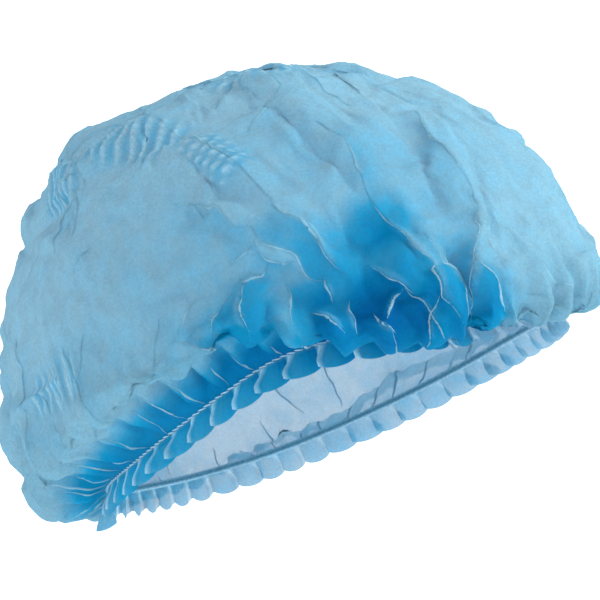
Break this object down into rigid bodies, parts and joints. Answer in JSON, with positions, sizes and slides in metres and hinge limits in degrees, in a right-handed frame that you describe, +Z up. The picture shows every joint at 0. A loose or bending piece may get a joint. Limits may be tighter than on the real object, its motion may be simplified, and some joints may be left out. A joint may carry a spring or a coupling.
{
  "type": "disposable bouffant cap",
  "caption": "Worn disposable hairnet of thin blue spunbond cloth: a puffed crown gathered onto an elastic, with a short frill round the head opening.",
  "frame": {"origin": "centre of the elastic, where the head goes in", "axes": "+Z up as worn; the wearer faces -Y and the wearer's right side is -X"},
  "size_m": [0.2432, 0.2754, 0.1986],
  "materials": {
    "crown_cloth": "thin spunbond polypropylene, matt and see-through",
    "frill_cloth": "gathered spunbond polypropylene, matt",
    "elastic_thread": "matt elastic braid, stitched",
    "welded_cloth": "heat-welded spunbond, slightly glossy"
  },
  "bodies": {
    "root": {"crown": "crown_cloth", "frill": "frill_cloth", "elastic": "elastic_thread", "end_tab": "welded_cloth"}
  },
  "joints": []
}
